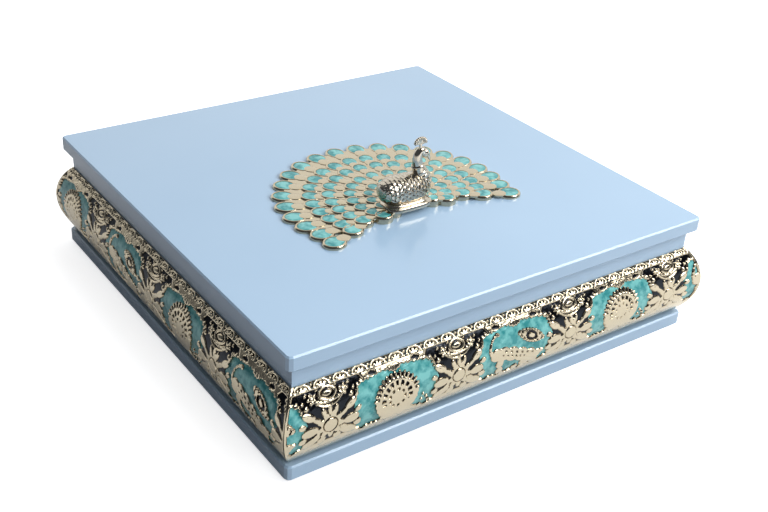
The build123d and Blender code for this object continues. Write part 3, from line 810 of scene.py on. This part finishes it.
SLOT_MATERIALS = {"lacquer": LACQUER, "inner_lacquer": INNER, "felt": FELT, "cup_plastic": CUP,
                  "steel": STEEL, "pad": PAD, "champagne": METAL, "teal_enamel": TEAL}
SLAB_NODES = ("lid_panel", "base_plinth")
BOARD_NODES = ("wall_front", "wall_back", "wall_left", "wall_right", "divider_long", "divider_cross")


def soften(node, width, segments):
    """Rounded arrises on a solid, laid over it as a modifier."""
    piece = frame["nodes"][node]
    bevel = piece.modifiers.new("arris", "BEVEL")
    bevel.width = width * MM
    bevel.segments = segments
    bevel.limit_method = "ANGLE"
    bevel.angle_limit = math.radians(18)
    bevel.harden_normals = False


for part in frame["record"]["subparts"]:
    solid = frame["nodes"][part["node"]]
    solid.data.materials.clear()
    solid.data.materials.append(SLOT_MATERIALS[part["material_slot"]])
for node in SLAB_NODES:
    soften(node, 0.8, 3)
for node in BOARD_NODES:
    soften(node, 0.5, 2)


# Floor, world and light

FLOOR_REACH = 4.0
FLOOR_COLOUR = srgb(250, 250, 251)
FLOOR_BOUNCE = (0.22, 0.22, 0.23, 1)
FLOOR_GLOW = 0.72
WHITE = grey(1.0)

# Direction in which the studio is bright, and its colours from the dim side to the bright one
BRIGHT_SIDE = (0.62, 0.78, 0.0)
ROOM = [(0.0, (0.07, 0.075, 0.085, 1)), (0.22, (0.10, 0.105, 0.115, 1))]
SHED_SWEEP = [(0.45, (0.68, 0.68, 0.69, 1)), (1.0, (0.74, 0.74, 0.75, 1))]
MIRRORED_SWEEP = [(0.45, WHITE), (1.0, WHITE)]


def either_ray(tree, path, first, second):
    """1 for light rays of either kind, and 0 for all others."""
    either = tree.nodes.new("ShaderNodeMath")
    either.operation = "MAXIMUM"
    tree.links.new(path.outputs[first], either.inputs[0])
    tree.links.new(path.outputs[second], either.inputs[1])
    return either.outputs[0]


def floor_material():
    """White where it is seen or mirrored, and modest as a source of bounced light."""
    material, tree, shader = new_material("floor", FLOOR_COLOUR, metallic=0.0, roughness=0.9)
    path = tree.nodes.new("ShaderNodeLightPath")
    seen = either_ray(tree, path, "Is Camera Ray", "Is Glossy Ray")
    colour = ramp(tree, seen, [(0.0, FLOOR_BOUNCE), (1.0, FLOOR_COLOUR)])
    tree.links.new(colour, shader.inputs["Base Color"])
    shader.inputs["Emission Color"].default_value = WHITE
    glow = tree.nodes.new("ShaderNodeMath")
    glow.operation = "MULTIPLY"
    glow.inputs[1].default_value = FLOOR_GLOW
    tree.links.new(path.outputs["Is Camera Ray"], glow.inputs[0])
    tree.links.new(glow.outputs[0], shader.inputs["Emission Strength"])
    return material


def stage_floor():
    """Plain pale floor at the height of the pads' undersides."""
    mesh = bpy.data.meshes.new("floor")
    signs = ((-1, -1), (1, -1), (1, 1), (-1, 1))
    mesh.from_pydata([(x * FLOOR_REACH, y * FLOOR_REACH, 0) for x, y in signs], [], [(0, 1, 2, 3)])
    mesh.materials.append(floor_material())
    floor = bpy.data.objects.new("floor", mesh)
    bpy.context.scene.collection.objects.link(floor)


def studio_background(tree, path):
    """Bright sweep on one side and dim room on the other; metal mirrors the sweep as plain white."""
    place = tree.nodes.new("ShaderNodeTexCoord")
    side = tree.nodes.new("ShaderNodeVectorMath")
    side.operation = "DOT_PRODUCT"
    side.inputs[1].default_value = BRIGHT_SIDE
    tree.links.new(place.outputs["Generated"], side.inputs[0])
    sky = tree.nodes.new("ShaderNodeMixRGB")
    tree.links.new(path.outputs["Is Glossy Ray"], sky.inputs["Fac"])
    tree.links.new(ramp(tree, side.outputs["Value"], ROOM + SHED_SWEEP), sky.inputs["Color1"])
    tree.links.new(ramp(tree, side.outputs["Value"], ROOM + MIRRORED_SWEEP), sky.inputs["Color2"])
    studio = tree.nodes.new("ShaderNodeBackground")
    tree.links.new(sky.outputs["Color"], studio.inputs["Color"])
    return studio.outputs[0]


def stage_world():
    """The studio, which the camera sees as plain white."""
    world = bpy.data.worlds.new("studio")
    bpy.context.scene.world = world
    world.use_nodes = True
    tree = world.node_tree
    tree.nodes.clear()
    path = tree.nodes.new("ShaderNodeLightPath")
    white = tree.nodes.new("ShaderNodeBackground")
    white.inputs["Color"].default_value = WHITE
    mix = tree.nodes.new("ShaderNodeMixShader")
    output = tree.nodes.new("ShaderNodeOutputWorld")
    seen = either_ray(tree, path, "Is Camera Ray", "Is Transmission Ray")
    tree.links.new(seen, mix.inputs["Fac"])
    tree.links.new(studio_background(tree, path), mix.inputs[1])
    tree.links.new(white.outputs[0], mix.inputs[2])
    tree.links.new(mix.outputs[0], output.inputs["Surface"])


def soft_light(name, place, size, power, mirrored=True):
    """A square softbox at a place in metres, aimed at the box; it may stay out of reflections."""
    target = Vector((0, 0, 0.05))
    data = bpy.data.lights.new(name, "AREA")
    data.size = size
    data.energy = power
    light = bpy.data.objects.new(name, data)
    light.location = place
    light.visible_glossy = mirrored
    light.rotation_euler = (target - Vector(place)).to_track_quat("-Z", "Y").to_euler()
    bpy.context.scene.collection.objects.link(light)


# Camera, solved from the lid's outline in the photograph; its place is in metres
CAMERA_AZ = math.radians(-36.70)
CAMERA_EL = math.radians(29.99)
CAMERA_ROLL = math.radians(3.59)
CAMERA_PLACE = (-0.3787, -0.52915, 0.39614)
FOCAL_PIXELS = 1109.8
IMAGE_WIDTH = 768
SENSOR_WIDTH = 36.0


def stage_camera():
    """The camera at the photograph's place, turn and roll."""
    level = math.cos(CAMERA_EL)
    back = Vector((math.sin(CAMERA_AZ) * level, -math.cos(CAMERA_AZ) * level, math.sin(CAMERA_EL)))
    right = Vector((math.cos(CAMERA_AZ), math.sin(CAMERA_AZ), 0))
    up = back.cross(right)
    across = math.cos(CAMERA_ROLL) * right + math.sin(CAMERA_ROLL) * up
    above = math.cos(CAMERA_ROLL) * up - math.sin(CAMERA_ROLL) * right
    data = bpy.data.cameras.new("camera")
    data.sensor_width = SENSOR_WIDTH
    data.lens = SENSOR_WIDTH * FOCAL_PIXELS / IMAGE_WIDTH
    camera = bpy.data.objects.new("camera", data)
    turned_to_view = Matrix((across, above, back)).transposed().to_4x4()
    camera.matrix_world = Matrix.Translation(CAMERA_PLACE) @ turned_to_view
    bpy.context.scene.collection.objects.link(camera)
    bpy.context.scene.camera = camera


stage_floor()
stage_world()
soft_light("key", place=(0.86, -0.93, 1.12), size=0.85, power=19)
soft_light("fill", place=(-0.1, -1.6, 0.75), size=0.8, power=10, mirrored=False)
soft_light("top", place=(0.5, -0.1, 1.5), size=0.8, power=8, mirrored=False)
stage_camera()
bpy.context.scene.view_settings.view_transform = "Standard"
